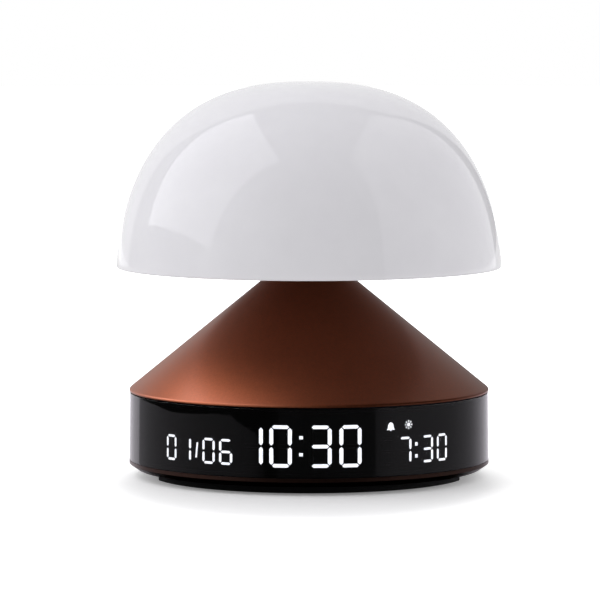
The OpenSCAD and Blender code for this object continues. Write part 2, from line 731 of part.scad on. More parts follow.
module base_cover() color(copper) difference() {
  union() {
    rotate_extrude() polygon([[0, base_z0], [base_flat_r, base_z0],
      [base_lip_r, 4.4], [base_lip_r, band_z0], [57, band_z0],
      [57, floor_z], [0, floor_z]]);
    at_case_screws() post(screw_r, 0, 4, 7, 3.05);
    // seat of the speaker
    translate([spk[0], spk[1], 0]) ring(20.6, 21.6, 4, 6.2);
    at_ears() post(0, 0, 4, 5.6, 2.6);
    // cradle of the cell
    for (x = [-21.5, 18.5]) translate([x, cell_y - 10.5, 4]) cube([3, 21, 6]);
    for (x = [-35.8, 34.4]) translate([x, cell_y - 6, 4]) cube([1.4, 12, 14]);
    // posts of the charge board
    for (x = [-6.4, 6.4]) post(x, 41.5, 4, 8, 2.2);
  }
  translate([-cell_l / 2 - 1, cell_y, cell_z]) rotate([0, 90, 0])
    cylinder(h = cell_l + 2, r = cell_d / 2 + 0.1);
  at_case_screws() {
    post(screw_r, 0, 2, 8, 1.6);
    post(screw_r, 0, 2, 5.2, 2.4);
  }
  at_ears() {
    post(0, 0, 3.4, 7, 0.95);
    ring(2.6, 3.5, 5.3, 7);
  }
  at_ears() translate([-2.9, 0, 5.6]) cylinder(h = 3, r = 4.3);
  for (x = [-6.4, 6.4]) post(x, 41.5, 5.4, 9, 0.85);
  // outlets of the speaker
  for (i = [-3 : 3]) let (l = sqrt(169 - 16 * i * i) - 1) {
    translate([-l, spk[1] + 4 * i - 0.8, 2]) cube([2 * l, 1.6, 4]);
    for (s = [-1, 1]) post(s * l, spk[1] + 4 * i, 2, 6, 0.8);
  }
  // seats of the feet
  for (a = [0, 180]) arc_ring(a - foot_half - 0.1, a + foot_half + 0.1,
    foot_r0 - 0.1, foot_r1 + 0.1, 2, base_z0 + foot_seat);
}

module base_screws() color(steel) at_case_screws()
  translate([screw_r, 0, 5.2]) mirror([0, 0, 1])
    screw_down(0, 2.2, 1.8, 1.5, 10.6, 1.4);

module rubber_feet() color([0.13, 0.13, 0.14]) for (a = [0, 180])
  rotate([0, 0, a - foot_half - 90]) rotate_extrude(angle = 2 * foot_half)
    polygon([[foot_r0, base_z0 - foot_h + 0.4], [foot_r0 + 0.4, base_z0 - foot_h],
             [foot_r1 - 0.4, base_z0 - foot_h], [foot_r1, base_z0 - foot_h + 0.4],
             [foot_r1, base_z0 + foot_seat], [foot_r0, base_z0 + foot_seat]]);

shade_dome();
shade_floor();
heat_spreader();
led_board();
light_leds();
light_screws();
press_stem();
stem_nut();
stem_clip();
press_switch_plunger();
cone_housing();
neck_bushing();
inner_frame();
frame_screws();
return_spring();
press_switch();
switch_board();
light_harness();
display_band();
display_mask();
time_digits();
date_digits();
alarm_digits();
alarm_icons();
unlit_segments();
display_reflector();
display_flex_board();
display_leds();
chassis();
main_board();
board_screws();
processor_chips();
board_connectors();
board_capacitors();
battery_cell();
battery_tabs();
battery_leads();
speaker_basket();
speaker_magnet();
speaker_surround();
speaker_gasket();
speaker_screws();
speaker_cone();
rear_panel();
rear_board();
button_switches();
charge_board();
usb_port();
usb_tongue();
button_light();
button_alarm();
button_minus();
button_plus();
light_plunger();
alarm_plunger();
minus_plunger();
plus_plunger();
base_cover();
base_screws();
rubber_feet();
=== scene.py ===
"""Looks of the sunrise alarm clock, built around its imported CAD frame."""

import json
import math

import bmesh
import bpy
from mathutils import Matrix, Vector

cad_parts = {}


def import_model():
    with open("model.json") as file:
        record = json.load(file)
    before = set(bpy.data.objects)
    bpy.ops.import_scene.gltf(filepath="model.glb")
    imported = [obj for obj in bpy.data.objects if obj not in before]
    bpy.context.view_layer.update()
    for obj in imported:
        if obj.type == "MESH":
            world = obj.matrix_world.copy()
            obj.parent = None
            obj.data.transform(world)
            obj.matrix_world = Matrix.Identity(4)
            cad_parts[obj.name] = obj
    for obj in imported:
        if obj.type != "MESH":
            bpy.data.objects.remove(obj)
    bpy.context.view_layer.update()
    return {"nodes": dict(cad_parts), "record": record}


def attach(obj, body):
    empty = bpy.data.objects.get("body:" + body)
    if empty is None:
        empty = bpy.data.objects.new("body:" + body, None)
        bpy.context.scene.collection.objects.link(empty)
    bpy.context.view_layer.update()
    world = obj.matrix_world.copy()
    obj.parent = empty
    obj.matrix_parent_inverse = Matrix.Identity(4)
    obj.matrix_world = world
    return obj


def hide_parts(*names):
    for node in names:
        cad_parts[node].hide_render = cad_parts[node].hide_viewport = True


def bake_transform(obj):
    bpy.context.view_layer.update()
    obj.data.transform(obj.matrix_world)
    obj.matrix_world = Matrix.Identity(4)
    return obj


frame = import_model()

MM = 0.001
PI = math.pi


# ------------------------------------------------------------------ camera
def add_camera():
    data = bpy.data.cameras.new("camera")
    data.sensor_fit = "HORIZONTAL"
    data.sensor_width = 36.0
    data.lens = 270.355
    data.clip_start = 0.05
    data.clip_end = 60.0
    cam = bpy.data.objects.new("camera", data)
    bpy.context.scene.collection.objects.link(cam)
    cam.location = (-0.00301, -1.5, 0.17855)
    cam.rotation_euler = (math.radians(90.0 - 4.5736), 0.0, 0.0)
    bpy.context.scene.camera = cam
    return cam


add_camera()


# ---------------------------------------------------------------- materials
class Graph:
    """A Principled material and short calls that add nodes to it."""

    def __init__(self, name):
        self.mat = bpy.data.materials.new(name)
        self.mat.use_nodes = True
        self.nt = self.mat.node_tree
        self.bsdf = self.nt.nodes["Principled BSDF"]
        self.coord = self.nt.nodes.new("ShaderNodeTexCoord").outputs["Object"]

    def link(self, a, b):
        self.nt.links.new(a, b)

    def put(self, socket, value):
        if isinstance(value, bpy.types.NodeSocket):
            self.link(value, socket)
        else:
            socket.default_value = value

    def set(self, **values):
        names = {
            "color": "Base Color", "metal": "Metallic", "rough": "Roughness",
            "ior": "IOR", "spec": "Specular IOR Level", "tint": "Specular Tint",
            "sss": "Subsurface Weight", "sss_radius": "Subsurface Radius",
            "sss_scale": "Subsurface Scale", "coat": "Coat Weight",
            "coat_rough": "Coat Roughness", "coat_ior": "Coat IOR",
            "sheen": "Sheen Weight", "sheen_rough": "Sheen Roughness",
            "trans": "Transmission Weight", "emit": "Emission Color",
            "power": "Emission Strength", "aniso": "Anisotropic",
            "normal": "Normal", "coat_normal": "Coat Normal",
        }
        for key, value in values.items():
            if key in ("color", "emit", "tint") and isinstance(value, tuple):
                value = (*value, 1.0)[:4]
            self.put(self.bsdf.inputs[names[key]], value)
        return self

    def noise(self, scale, detail=2.0, rough=0.5, stretch=None, dist=0.0, where=None):
        n = self.nt.nodes.new("ShaderNodeTexNoise")
        n.inputs["Scale"].default_value = scale
        n.inputs["Detail"].default_value = detail
        n.inputs["Roughness"].default_value = rough
        n.inputs["Distortion"].default_value = dist
        src = where or self.coord
        if stretch:
            m = self.nt.nodes.new("ShaderNodeMapping")
            m.inputs["Scale"].default_value = stretch
            self.link(src, m.inputs["Vector"])
            src = m.outputs["Vector"]
        self.link(src, n.inputs["Vector"])
        return n.outputs["Fac"]

    def cells(self, scale, feature="F1", out="Distance", rnd=1.0, where=None):
        n = self.nt.nodes.new("ShaderNodeTexVoronoi")
        n.feature = feature
        n.inputs["Scale"].default_value = scale
        n.inputs["Randomness"].default_value = rnd
        self.link(where or self.coord, n.inputs["Vector"])
        return n.outputs[out]

    def wave(self, scale, axis="X", rings=False, dist=0.0, where=None):
        n = self.nt.nodes.new("ShaderNodeTexWave")
        n.wave_type = "RINGS" if rings else "BANDS"
        if rings:
            n.rings_direction = axis
        else:
            n.bands_direction = axis
        n.inputs["Scale"].default_value = scale
        n.inputs["Distortion"].default_value = dist
        self.link(where or self.coord, n.inputs["Vector"])
        return n.outputs["Fac"]

    def span(self, value, low, high, a=0.0, b=1.0, smooth=False):
        """Maps a value from low..high to a..b, held at the ends."""
        n = self.nt.nodes.new("ShaderNodeMapRange")
        n.clamp = True
        if smooth:
            n.interpolation_type = "SMOOTHSTEP"
        n.inputs["From Min"].default_value = low
        n.inputs["From Max"].default_value = high
        n.inputs["To Min"].default_value = a
        n.inputs["To Max"].default_value = b
        self.link(value, n.inputs["Value"])
        return n.outputs["Result"]

    def ramp(self, value, stops):
        n = self.nt.nodes.new("ShaderNodeValToRGB")
        e = n.color_ramp.elements
        while len(e) < len(stops):
            e.new(0.5)
        for i, (p, c) in enumerate(stops):
            e[i].position = p
            e[i].color = (*c, 1.0) if isinstance(c, tuple) else (c, c, c, 1.0)
        self.link(value, n.inputs["Fac"])
        return n.outputs["Color"]

    def math(self, op, a, b=0.0):
        n = self.nt.nodes.new("ShaderNodeMath")
        n.operation = op
        self.put(n.inputs[0], a)
        self.put(n.inputs[1], b)
        return n.outputs[0]

    def mix(self, fac, a, b, mode="MIX"):
        n = self.nt.nodes.new("ShaderNodeMix")
        n.data_type = "RGBA"
        n.blend_type = mode
        self.put(n.inputs[0], fac)
        for i, v in ((6, a), (7, b)):
            self.put(n.inputs[i], (*v, 1.0) if isinstance(v, tuple) else v)
        return n.outputs[2]

    def bump(self, height, depth, strength=1.0, below=None):
        """Relief of the given depth in metres."""
        n = self.nt.nodes.new("ShaderNodeBump")
        n.inputs["Strength"].default_value = strength
        n.inputs["Distance"].default_value = depth
        self.link(height, n.inputs["Height"])
        if below is not None:
            self.link(below, n.inputs["Normal"])
        return n.outputs["Normal"]

    def axis(self, name):
        n = self.nt.nodes.new("ShaderNodeSeparateXYZ")
        self.link(self.coord, n.inputs[0])
        return n.outputs[name]

    def radius(self, cx=0.0, cy=0.0):
        x = self.math("SUBTRACT", self.axis("X"), cx)
        y = self.math("SUBTRACT", self.axis("Y"), cy)
        return self.math("SQRT", self.math(
            "ADD", self.math("MULTIPLY", x, x), self.math("MULTIPLY", y, y)))


def shade3(c, k):
    return tuple(min(1.0, v * k) for v in c)


def moulded(name, color, rough=0.45, grain=1800.0, depth=8e-6, vary=0.10,
            wide=60.0, ior=1.49, scuff=0.0):
    """Moulded plastic: spark-eroded grain, slow colour drift, rubbed patches."""
    g = Graph(name)
    drift = g.noise(wide, 3.0)
    fine = g.noise(grain, 3.0, 0.6)
    tone = g.ramp(drift, [(0.30, shade3(color, 1 - vary)), (0.52, color),
                          (0.74, shade3(color, 1 + vary))])
    speck = g.span(fine, 0.35, 0.65, 1 - 0.5 * vary, 1 + 0.5 * vary)
    g.set(color=g.mix(1.0, tone, speck, "MULTIPLY"), ior=ior,
          rough=g.span(g.math("ADD", g.math("MULTIPLY", drift, 0.6),
                              g.math("MULTIPLY", fine, 0.4)),
                       0.35, 0.65, rough - 0.06 - scuff, rough + 0.07),
          normal=g.bump(fine, depth))
    return g


def metal(name, color, rough=0.3, grain=900.0, depth=3e-6, stretch=None,
          vary=0.06, lathed=False, centre=(0.0, 0.0)):
    """Metal with a tool's marks: streaks along one way, or turned rings."""
    g = Graph(name)
    if lathed:
        lines = g.noise(1.0, 2.0, where=_radial(g, centre, grain))
    else:
        lines = g.noise(grain, 3.0, 0.55, stretch=stretch)
    drift = g.noise(90.0, 2.0)
    mixv = g.math("ADD", g.math("MULTIPLY", lines, 0.55),
                  g.math("MULTIPLY", drift, 0.45))
    g.set(color=g.ramp(mixv, [(0.32, shade3(color, 1 - vary * 1.6)),
                              (0.5, color), (0.68, shade3(color, 1 + vary))]),
          metal=1.0, rough=g.span(mixv, 0.35, 0.65, rough - 0.07, rough + 0.09),
          normal=g.bump(lines, depth))
    return g


def _radial(g, centre, grain):
    """A vector whose first number is the distance from an upright axis."""
    r = g.radius(*centre)
    n = g.nt.nodes.new("ShaderNodeCombineXYZ")
    g.link(g.math("MULTIPLY", r, grain), n.inputs[0])
    g.link(g.math("MULTIPLY", g.axis("Z"), grain), n.inputs[1])
    return n.outputs[0]


def opal():
    """Opal acrylic: milky body with a faint cloud, and a polished skin."""
    g = Graph("opal_shade")
    cloud = g.noise(28.0, 3.0, 0.5, dist=0.4)
    haze = g.noise(140.0, 3.0, 0.55)
    both = g.math("ADD", g.math("MULTIPLY", cloud, 0.7), g.math("MULTIPLY", haze, 0.3))
    skin = g.noise(120.0, 1.5, 0.4)
    fine = g.noise(900.0, 2.0, 0.5)
    relief = g.bump(fine, 0.6e-6, below=g.bump(skin, 9e-6))
    g.set(color=g.ramp(both, [(0.30, (0.700, 0.690, 0.722)),
                              (0.52, (0.722, 0.712, 0.744)),
                              (0.72, (0.744, 0.734, 0.764))]),
          rough=g.span(haze, 0.3, 0.7, 0.035, 0.060), ior=1.50,
          sss=0.25, sss_radius=(1.0, 0.96, 1.02), sss_scale=0.004,
          normal=relief)
    return g


def anodised(name, color, rough, bright, coat=0.12, grain=3400.0, depth=7e-6):
    """Bead-blasted and dyed aluminium: an even sparkle of tiny dimples."""
    g = Graph(name)
    blast = g.noise(grain, 2.0, 0.6)
    coarse = g.noise(grain * 0.32, 2.0, 0.5)
    drift = g.noise(22.0, 2.0, 0.5)
    pits = g.math("ADD", g.math("MULTIPLY", blast, 0.65),
                  g.math("MULTIPLY", coarse, 0.35))
    dye = g.mix(g.span(drift, 0.3, 0.7), shade3(color, 0.95), shade3(color, 1.06))
    fleck = g.span(pits, 0.36, 0.64, 1.0 - bright, 1.0 + bright)
    g.set(color=g.mix(1.0, dye, fleck, "MULTIPLY"), metal=1.0,
          rough=g.span(pits, 0.35, 0.65, rough - 0.05, rough + 0.06),
          coat=coat, coat_rough=0.30, coat_ior=1.5,
          normal=g.bump(pits, depth))
    return g


def smoked():
    """Smoked acrylic, clear enough for lit digits to show through."""
    g = Graph("smoked_band")
    skin = g.noise(70.0, 2.0, 0.4)
    dust = g.noise(2600.0, 2.0, 0.5)
    g.set(color=g.mix(g.noise(45.0, 2.0), (0.60, 0.60, 0.62), (0.64, 0.64, 0.66)),
          rough=g.span(dust, 0.55, 0.80, 0.0, 0.03), ior=1.49, trans=1.0,
          normal=g.bump(skin, 1.2e-6))
    return g


def glow():
    """Lit light guide, a little hotter over its chip."""
    g = Graph("white_glow")
    hot = g.noise(520.0, 1.0)
    g.set(color=(0.9, 0.92, 0.95), rough=0.5,
          emit=g.ramp(hot, [(0.3, (0.90, 0.94, 1.0)), (0.7, (1.0, 1.0, 1.0))]),
          power=g.span(hot, 0.3, 0.7, 1.8, 2.15), normal=g.bump(hot, 4e-6))
    return g


def board(name, mask, trace, deep):
    """Circuit board: solder mask over tracks, with plated dots."""
    g = Graph(name)
    tracks = g.cells(420.0, "DISTANCE_TO_EDGE", where=_square(g))
    lines = g.span(tracks, 0.05, 0.09)
    dots = g.span(g.cells(260.0, rnd=0.85), 0.10, 0.14)
    base = g.mix(lines, trace, mask)
    cloud = g.noise(80.0, 2.0)
    base = g.mix(1.0, base, g.span(cloud, 0.3, 0.7, 0.88, 1.1), "MULTIPLY")
    g.set(color=g.mix(dots, (0.72, 0.58, 0.30), base),
          metal=g.span(dots, 0.0, 1.0, 0.9, 0.0),
          rough=g.span(cloud, 0.3, 0.7, 0.24, 0.36),
          normal=g.bump(lines, -deep))
    return g


def _square(g):
    """Coordinates squeezed along one way, so that the cells stretch into tracks."""
    m = g.nt.nodes.new("ShaderNodeMapping")
    m.inputs["Scale"].default_value = (1.0, 0.35, 1.0)
    g.link(g.coord, m.inputs["Vector"])
    return m.outputs["Vector"]


def rubber(name, color, rough=0.75, grain=1500.0, depth=1.6e-5, vary=0.12,
           sheen=0.15, spec=0.5):
    g = Graph(name)
    fine = g.noise(grain, 3.0, 0.65)
    drift = g.noise(110.0, 3.0)
    bloom = g.span(drift, 0.3, 0.7, 0.0, 1.0)
    g.set(color=g.mix(bloom, shade3(color, 1 - vary), shade3(color, 1 + vary)),
          rough=g.span(fine, 0.35, 0.65, rough - 0.08, rough + 0.1),
          sheen=sheen, sheen_rough=0.5, spec=spec, normal=g.bump(fine, depth))
    return g


def paper(name, color):
    g = Graph(name)
    fibre = g.noise(700.0, 4.0, 0.7, stretch=(1.0, 0.18, 1.0), dist=0.6)
    cross = g.noise(700.0, 4.0, 0.7, stretch=(0.18, 1.0, 1.0), dist=0.6)
    both = g.math("MAXIMUM", fibre, cross)
    g.set(color=g.ramp(both, [(0.45, shade3(color, 0.8)), (0.6, color),
                              (0.75, shade3(color, 1.5))]),
          rough=g.span(both, 0.4, 0.8, 0.82, 0.95), normal=g.bump(both, 3e-5))
    return g


def sleeve(name, color):
    """Shrink sleeve of the cell: gloss film with fine wrinkles."""
    g = Graph(name)
    wrinkle = g.noise(260.0, 3.0, 0.6, stretch=(0.25, 1.0, 1.0), dist=0.5)
    g.set(color=g.ramp(wrinkle, [(0.3, shade3(color, 0.9)), (0.55, color),
                                 (0.8, shade3(color, 1.12))]),
          rough=g.span(wrinkle, 0.3, 0.7, 0.18, 0.30), coat=0.3, coat_rough=0.1,
          normal=g.bump(wrinkle, 2e-5))
    return g


MATS = {
    "opal_shade": opal().mat,
    "copper_anodised": anodised(
        "copper_anodised", (0.520, 0.1390, 0.0555), 0.46, 0.12, coat=0.8).mat,
    "brown_base": anodised(
        "brown_base", (0.090, 0.045, 0.034), 0.36, 0.14, coat=0.2).mat,
    "smoked_band": smoked().mat,
    "mask_film": moulded("mask_film", (0.006, 0.006, 0.007), 0.5, 1200.0, 2e-6, 0.1).mat,
    "white_glow": glow().mat,
    "reflector_white": moulded("reflector_white", (0.80, 0.80, 0.78), 0.55, 900.0, 6e-6, 0.03).mat,
    "flex_amber": board("flex_amber", (0.50, 0.26, 0.05), (0.58, 0.33, 0.09), 6e-6).mat,
    "led_package": moulded("led_package", (0.86, 0.80, 0.46), 0.25, 1600.0, 3e-6, 0.06).mat,
    "alloy_spreader": metal("alloy_spreader", (0.72, 0.73, 0.75), 0.34, 1500.0, 5e-6, lathed=True).mat,
    "white_board": moulded("white_board", (0.84, 0.85, 0.83), 0.32, 700.0, 4e-6, 0.03).mat,
    "green_board": board("green_board", (0.018, 0.16, 0.075), (0.03, 0.24, 0.11), 1.2e-5).mat,
    "steel_bright": metal("steel_bright", (0.60, 0.61, 0.63), 0.24, 1400.0, 3e-6).mat,
    "nickel": metal("nickel", (0.68, 0.67, 0.64), 0.16, 1000.0, 2e-6, stretch=(1.0, 0.1, 1.0)).mat,
    "brass_nut": metal("brass_nut", (0.78, 0.58, 0.26), 0.26, 1300.0, 4e-6, lathed=True).mat,
    "black_abs": moulded("black_abs", (0.020, 0.020, 0.021), 0.50, 3600.0, 5e-6, 0.10).mat,
    "underside_taupe": moulded("underside_taupe", (0.165, 0.140, 0.130), 0.50, 3200.0, 6e-6, 0.10).mat,
    "key_cap": moulded("key_cap", (0.034, 0.034, 0.036), 0.42, 2600.0, 6e-6, 0.14, scuff=0.04).mat,
    "ivory_pin": moulded("ivory_pin", (0.78, 0.73, 0.58), 0.38, 1500.0, 4e-6, 0.04).mat,
    "component_black": moulded("component_black", (0.030, 0.030, 0.033), 0.48, 2600.0, 9e-6, 0.2).mat,
    "connector_cream": moulded("connector_cream", (0.80, 0.75, 0.62), 0.42, 1200.0, 6e-6, 0.05).mat,
    "capacitor_blue": metal("capacitor_blue", (0.10, 0.13, 0.34), 0.30, 800.0, 4e-6, stretch=(1.0, 1.0, 0.1)).mat,
    "cell_sleeve": sleeve("cell_sleeve", (0.05, 0.21, 0.42)).mat,
    "wire_red": rubber("wire_red", (0.52, 0.035, 0.025), 0.42, 1200.0, 4e-6, 0.08).mat,
    "speaker_frame": moulded("speaker_frame", (0.055, 0.055, 0.06), 0.40, 1700.0, 1e-5, 0.15).mat,
    "speaker_paper": paper("speaker_paper", (0.045, 0.042, 0.040)).mat,
    "soft_black": rubber("soft_black", (0.022, 0.022, 0.023), 0.70, 1700.0, 1.2e-5).mat,
    "foot_rubber": rubber("foot_rubber", (0.006, 0.006, 0.0065), 0.72, 1500.0, 1.6e-5, sheen=0.02, spec=0.2).mat,
    "legend_grey": moulded("legend_grey", (0.56, 0.56, 0.57), 0.48, 2000.0, 3e-6, 0.05).mat,
    "contact_gold": metal("contact_gold", (0.92, 0.66, 0.28), 0.20, 1500.0, 1e-6, stretch=(1.0, 0.1, 1.0)).mat,
}

slot_of = {s["node"]: s["material_slot"] for s in frame["record"]["subparts"]}
for name, obj in frame["nodes"].items():
    mat = MATS[slot_of[name]]
    if not obj.material_slots:
        obj.data.materials.append(mat)
    for s in obj.material_slots:
        s.material = mat


def finish_mesh(name, verts, faces, mat, sharp=32.0, weld=None):
    mesh = bpy.data.meshes.new(name)
    mesh.from_pydata(verts, [], faces)
    bm = bmesh.new()
    bm.from_mesh(mesh)
    if weld:
        bmesh.ops.remove_doubles(bm, verts=bm.verts, dist=weld)
    bmesh.ops.recalc_face_normals(bm, faces=bm.faces)
    limit = math.radians(sharp)
    for f in bm.faces:
        f.smooth = True
    for e in bm.edges:
        e.smooth = len(e.link_faces) == 2 and e.calc_face_angle(0.0) < limit
    bm.to_mesh(mesh)
    bm.free()
    mesh.materials.append(MATS[mat])
    obj = bpy.data.objects.new(name, mesh)
    bpy.context.scene.collection.objects.link(obj)
    return obj


def supported(loop, near=0.04, least=0.5):
    """Extra points just inside both ends of each long straight, so that shading
    stays true along it and turns only in the fillets."""
    out = []
    for i, p in enumerate(loop):
        q = loop[(i + 1) % len(loop)]
        out.append(p)
        d = math.hypot(q[0] - p[0], q[1] - p[1])
        if d > least:
            for t in (near / d, 0.5, 1 - near / d):
                out.append((p[0] + (q[0] - p[0]) * t, p[1] + (q[1] - p[1]) * t))
    return out


def turned(name, loop, mat, seg=288, arc=None, sharp=32.0, support=True):
    """Turns a closed outline of (r, z) points in mm round the upright axis.
    arc is two azimuths in degrees, from the front towards +X."""
    full = arc is None
    if support:
        loop = supported(loop)
    a0, a1 = (0.0, 360.0) if full else arc
    n = seg if full else max(2, int(round(seg * (a1 - a0) / 360.0))) + 1
    angles = [math.radians(a0 + (a1 - a0) * i / (seg if full else n - 1))
              for i in range(n)]
    verts, faces, ring = [], [], []
    for r, z in loop:
        if r < 1e-6 and full:
            verts.append((0.0, 0.0, z * MM))
            ring.append([len(verts) - 1] * n)
        else:
            ids = []
            for a in angles:
                verts.append((r * MM * math.sin(a), -r * MM * math.cos(a), z * MM))
                ids.append(len(verts) - 1)
            ring.append(ids)
    m = len(loop)
    steps = n if full else n - 1
    for j in range(m):
        k = (j + 1) % m
        if ring[j][0] == ring[j][-1] and ring[k][0] == ring[k][-1] and full:
            continue
        for i in range(steps):
            q = (i + 1) % n
            f = [ring[j][i], ring[j][q], ring[k][q], ring[k][i]]
            f = [v for p, v in enumerate(f) if v != f[p - 1]]
            if len(f) >= 3:
                faces.append(f)
    if not full:
        faces.append([ring[j][0] for j in range(m)])
        faces.append([ring[j][-1] for j in reversed(range(m))])
    return finish_mesh(name, verts, faces, mat, sharp)


def fillet(p, c, q, r, steps=6):
    """Points that round the corner c between p and q with radius r."""
    p, c, q = Vector(p), Vector(c), Vector(q)
    u, v = (p - c).normalized(), (q - c).normalized()
    half = math.acos(max(-1, min(1, u.dot(v)))) / 2
    d = r / math.tan(half)
    mid = c + (u + v).normalized() * (r / math.sin(half))
    a, b = c + u * d - mid, c + v * d - mid
    out = []
    for i in range(steps + 1):
        t = i / steps
        w = a.lerp(b, t).normalized() * r
        out.append(tuple(mid + w))
    return out


def outline(points):
    """Closed outline from (r, z) or (r, z, fillet radius) corners."""
    out = []
    n = len(points)
    for i, p in enumerate(points):
        if len(p) > 2 and p[2] > 0:
            out += fillet(points[i - 1][:2], p[:2], points[(i + 1) % n][:2], p[2])
        else:
            out.append((p[0], p[1]))
    return out


# --------------------------------------------------------------- the shade
A, B, NR, NZ, Z0 = 64.665, 74.766, 2.514, 2.453, 56.679
WALL, RIM, RIM_Z, FLOOR_TOP = 2.2, 0.65, 69.7, 73.8


def shade_pt(t, w):
    return ((A - w) * math.sin(t) ** (2 / NR), Z0 + (B - w) * math.cos(t) ** (2 / NZ))


def shade_t(z, w):
    return math.acos(((z - Z0) / (B - w)) ** (NZ / 2))


def build_shade():
    t1, t2 = shade_t(RIM_Z + RIM, 0), shade_t(FLOOR_TOP, WALL)
    land = shade_pt(shade_t(RIM_Z, 0), 0)[0] - 2.3
    edge = shade_pt(t1, 0)[0]
    loop = [(0.0, Z0 + B)]
    n = 110
    loop += [shade_pt(t1 * i / n, 0) for i in range(1, n + 1)]
    loop += [(edge - RIM + RIM * math.cos(math.radians(7.5 * i)),
              RIM_Z + RIM - RIM * math.sin(math.radians(7.5 * i)))
             for i in range(1, 13)]
    loop += [(land + 0.35, RIM_Z), (land + 0.10, RIM_Z + 0.10), (land, RIM_Z + 0.35),
             (land, FLOOR_TOP)]
    m = 60
    loop += [shade_pt(t2 * i / m, WALL) for i in range(m - 1, 0, -1)]
    loop.append((0.0, Z0 + B - WALL))
    obj = turned("shade_shell", loop, "opal_shade", seg=320, support=False)
    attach(obj, "light_head")
    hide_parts("shade_dome")
    return obj


build_shade()


# ---------------------------------------------------------------- the cone
CONE_K, TIP, CONE_R, CONE_WALL, SEAM = 1.2246, 78.2, 60.0, 1.8, 28.4
NECK, MAST = 69.0, 65.0


def build_cone():
    half = math.atan(CONE_K)
    tip_in = TIP - CONE_WALL / math.sin(half)
    out = lambda z: (TIP - z) * CONE_K
    inn = lambda z: (tip_in - z) * CONE_K
    corner = TIP - CONE_R / CONE_K
    top = NECK - 0.5
    loop = outline([
        (inn(SEAM), SEAM), (CONE_R, SEAM, 0.25), (CONE_R, corner, 0.8),
        (out(NECK), NECK, 0.7), (7.5, NECK), (7.5, MAST), (inn(MAST), MAST)])
    obj = turned("cone_shell", loop, "copper_anodised", seg=320)
    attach(obj, "clock_base")
    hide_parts("cone_housing")
    return obj


build_cone()


# ---------------------------------------------------------------- the band
def build_band():
    loop = outline([
        (57.85, 5.6, 0.12), (60.06, 5.6, 0.22), (59.81, 28.0, 0.12),
        (57.85, 28.0, 0.12)])
    obj = turned("band_lens", loop, "smoked_band", seg=400, arc=(-144.0, 144.0))
    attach(obj, "clock_base")
    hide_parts("display_band")
    return obj


build_band()


# ---------------------------------------------------------------- the feet
def build_feet():
    verts, faces = [], []
    # section with rounded edges and three shallow grip grooves underneath
    section = outline([(44.0, 0.0, 0.45), (53.0, 0.0, 0.45), (53.0, 3.2), (44.0, 3.2)])
    under = []
    for c in (46.2, 48.5, 50.8):
        under += [(c - 0.45, 0.0), (c - 0.28, 0.28), (c + 0.28, 0.28), (c + 0.45, 0.0)]
    cut = [i for i, p in enumerate(section) if p[1] < 1e-6 and p[0] < 48][-1]
    loop = section[:cut + 1] + under + section[cut + 1:]
    for k, mid in enumerate((0.0, 180.0)):
        obj = turned("foot_%s" % ("front", "rear")[k], loop, "foot_rubber", seg=288,
                     arc=(mid - 70.0, mid + 70.0))
        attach(obj, "clock_base")
        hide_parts("rubber_feet")


build_feet()


# ---------------------------------------------------------------- the keys
KEY_X = (-19.5, -6.5, 6.5, 19.5)
KEY_Z, KEY_R, CAP_Y = 18.75, 3.25, 48.0


def key_face(x, r):
    """How far out a key's face is, in mm: the drum's curve with a shallow dish."""
    u = min(1.0, r / 2.75)
    return math.sqrt(60.1 ** 2 - x * x) - 0.10 - 0.22 * (1 - u * u)


def build_key(x0, name, body, node):
    seg = 72
    verts, rings = [], []

    def ring(r, depth):
        ids = []
        for i in range(seg):
            a = 2 * PI * i / seg
            x, z = x0 + r * math.cos(a), KEY_Z + r * math.sin(a)
            y = depth(x) if callable(depth) else depth
            verts.append((x * MM, y * MM, z * MM))
            ids.append(len(verts) - 1)
        rings.append(ids)

    ring(KEY_R + 0.75, CAP_Y)
    ring(KEY_R + 0.75, CAP_Y + 1.3)
    ring(KEY_R + 0.65, CAP_Y + 1.4)
    ring(KEY_R, CAP_Y + 1.4)
    edge = 0.42
    for i in range(0, 9):
        a = (PI / 2) * i / 8
        r = KEY_R - edge + edge * math.cos(a)
        drop = edge - edge * math.sin(a)
        ring(r, lambda x, r=r, drop=drop: key_face(x, KEY_R - edge) - drop)
    for r in (2.6, 2.3, 2.0, 1.6, 1.2, 0.8, 0.4):
        ring(r, lambda x, r=r: key_face(x, r))
    faces = []
    for j in range(len(rings) - 1):
        for i in range(seg):
            k = (i + 1) % seg
            faces.append([rings[j][i], rings[j][k], rings[j + 1][k], rings[j + 1][i]])
    faces.append(list(rings[0]))
    verts.append((x0 * MM, key_face(x0, 0) * MM, KEY_Z * MM))
    tip = len(verts) - 1
    for i in range(seg):
        faces.append([rings[-1][i], rings[-1][(i + 1) % seg], tip])
    obj = finish_mesh(name + "_cap", verts, faces, "key_cap", sharp=40.0)
    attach(obj, body)
    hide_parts(node)


def arc_pts(cx, cy, r, a0, a1, n):
    return [(cx + r * math.cos(math.radians(a0 + (a1 - a0) * i / n)),
             cy + r * math.sin(math.radians(a0 + (a1 - a0) * i / n)))
            for i in range(n + 1)]


def bar_pts(l, t, turn=0.0, cx=0.0, cy=0.0):
    """Bar with round ends."""
    pts = (arc_pts(l / 2 - t / 2, 0, t / 2, -90, 90, 8)
           + arc_pts(-l / 2 + t / 2, 0, t / 2, 90, 270, 8))
    c, s = math.cos(math.radians(turn)), math.sin(math.radians(turn))
    return [(cx + x * c - y * s, cy + x * s + y * c) for x, y in pts]


def plus_pts(l, t):
    h, w = l / 2, t / 2
    return [(w, -h), (w, -w), (h, -w), (h, w), (w, w), (w, h), (-w, h), (-w, w),
            (-h, w), (-h, -w), (-w, -w), (-w, -h)]


